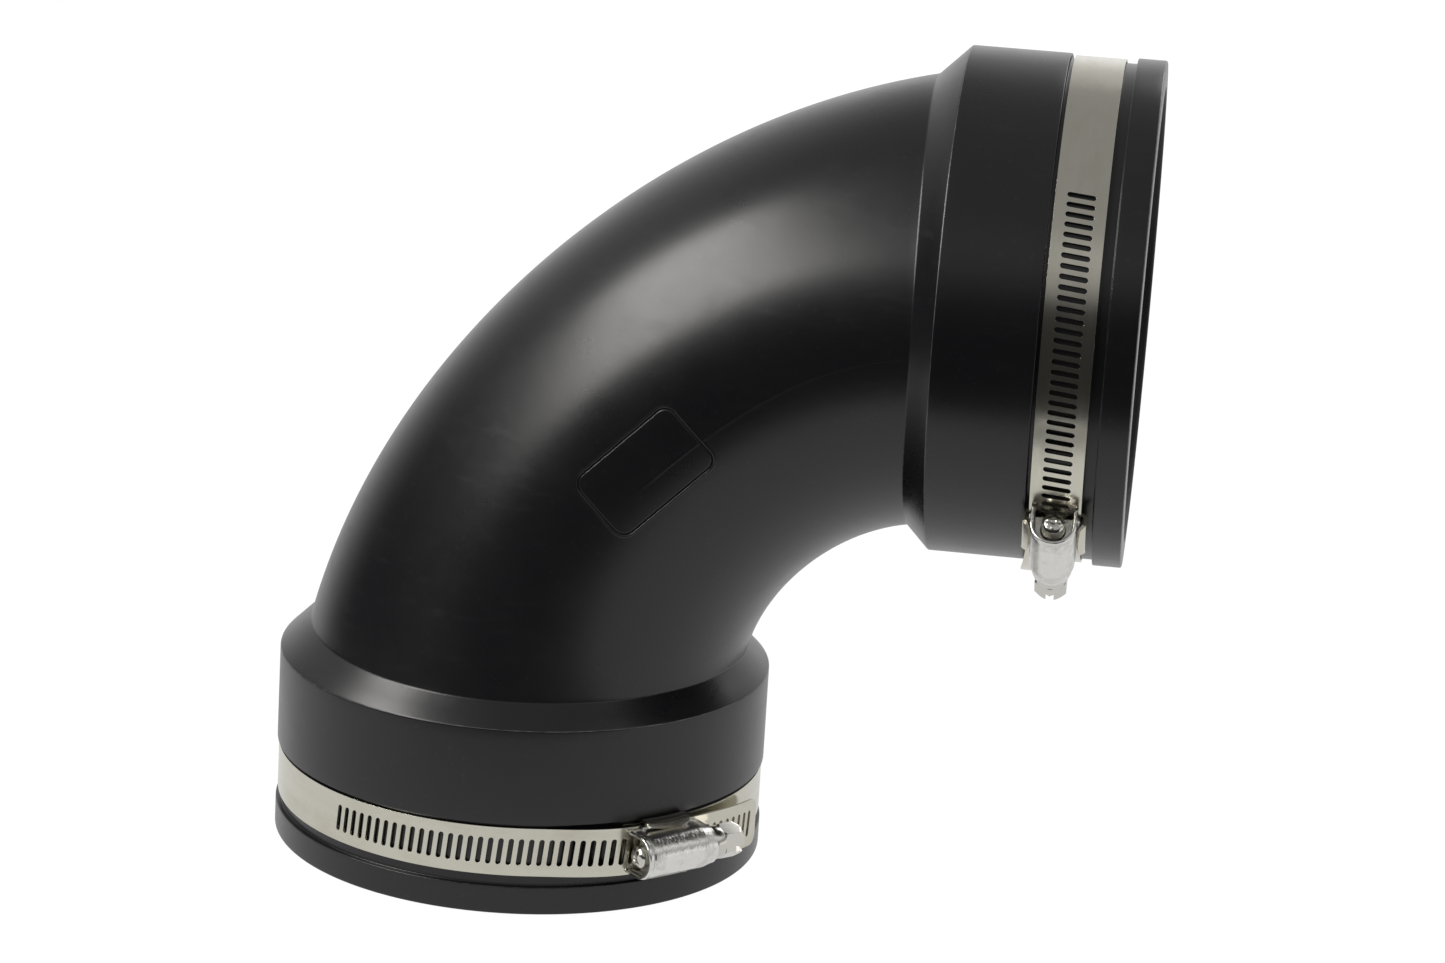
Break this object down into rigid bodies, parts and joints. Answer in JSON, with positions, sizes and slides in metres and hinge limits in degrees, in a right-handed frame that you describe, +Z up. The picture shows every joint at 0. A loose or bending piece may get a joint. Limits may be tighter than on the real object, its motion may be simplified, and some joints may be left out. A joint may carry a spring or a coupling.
{
  "type": "flexible pvc elbow coupling",
  "caption": "Soft black PVC right-angle pipe coupling with a socket at each end, each held by a slotted stainless worm drive clamp.",
  "frame": {"origin": "on the floor under the middle of the part's box; the lower socket's axis is 44.8 mm from it towards -X", "axes": "+Z up along the lower socket's axis; +X out of the side socket; Y level across the bend, clamp housings on the -Y side"},
  "size_m": [0.2176, 0.128, 0.2176],
  "materials": {
    "soft_pvc": "satin moulded soft PVC with a fine grain",
    "clamp_band": "rolled stainless strip",
    "clamp_housing": "bright stamped stainless",
    "clamp_screw": "bright plated"
  },
  "bodies": {
    "elbow": {"elbow_body": "soft_pvc"},
    "lower_clamp": {"lower_band": "clamp_band", "lower_saddle": "clamp_band", "lower_housing": "clamp_housing"},
    "lower_screw": {"lower_worm_screw": "clamp_screw"},
    "side_clamp": {"side_band": "clamp_band", "side_saddle": "clamp_band", "side_housing": "clamp_housing"},
    "side_screw": {"side_worm_screw": "clamp_screw"}
  },
  "joints": [
    {"name": "lower_clamp_turns", "type": "hinge", "parent": "elbow", "child": "lower_clamp", "pos_m": [-0.0448, 0, 0.01675], "axis": [0, 0, 1], "continuous": true},
    {"name": "lower_screw_turns", "type": "hinge", "parent": "lower_clamp", "child": "lower_screw", "pos_m": [0.00318, -0.05056, 0.01675], "axis": [0.7254, 0.6884, 0], "continuous": true},
    {"name": "side_clamp_turns", "type": "hinge", "parent": "elbow", "child": "side_clamp", "pos_m": [0.09205, 0, 0.1536], "axis": [1, 0, 0], "continuous": true},
    {"name": "side_screw_turns", "type": "hinge", "parent": "side_clamp", "child": "side_screw", "pos_m": [0.09205, -0.05097, 0.10607], "axis": [0, 0.682, -0.7314], "continuous": true}
  ]
}
